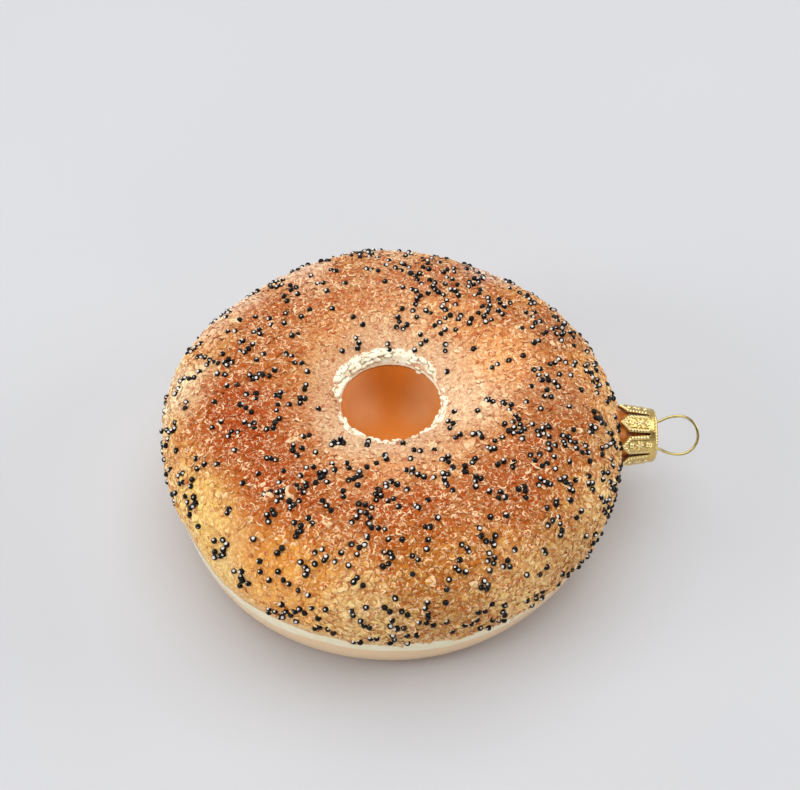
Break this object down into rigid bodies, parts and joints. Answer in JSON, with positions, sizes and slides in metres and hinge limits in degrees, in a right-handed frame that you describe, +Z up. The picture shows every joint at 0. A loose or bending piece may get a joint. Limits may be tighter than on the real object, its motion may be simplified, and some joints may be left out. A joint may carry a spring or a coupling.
{
  "type": "glass hanging ornament shaped as a seeded bagel",
  "caption": "Blown-glass hanging ornament in the shape of a seeded ring roll, with glass grit and beads, a stamped crown cap and a wire hanger loop.",
  "frame": {"origin": "middle of the underside of the whole ornament, on the surface that it lies on", "axes": "+Z up through the hole, +X towards the cap and hanger loop, -Y towards the viewer of the picture"},
  "size_m": [0.1082, 0.0918, 0.0333],
  "materials": {
    "crust_coat": "glass painted as toasted crust under a coat of clear glass grit",
    "black_beads": "glossy black glass beads",
    "clear_grit": "clear crushed glass tinted by the crust under it",
    "cream_paste": "crumbly cream-coloured paste",
    "hole_enamel": "satin terracotta enamel",
    "base_enamel": "glossy tan and cream enamel",
    "cap_gilt": "stamped gilt metal, embossed",
    "loop_wire": "pale gold-coloured spring wire"
  },
  "bodies": {
    "root": {"bagel_body": "crust_coat", "cap_crown": "cap_gilt", "hanger_loop": "loop_wire"}
  },
  "joints": []
}
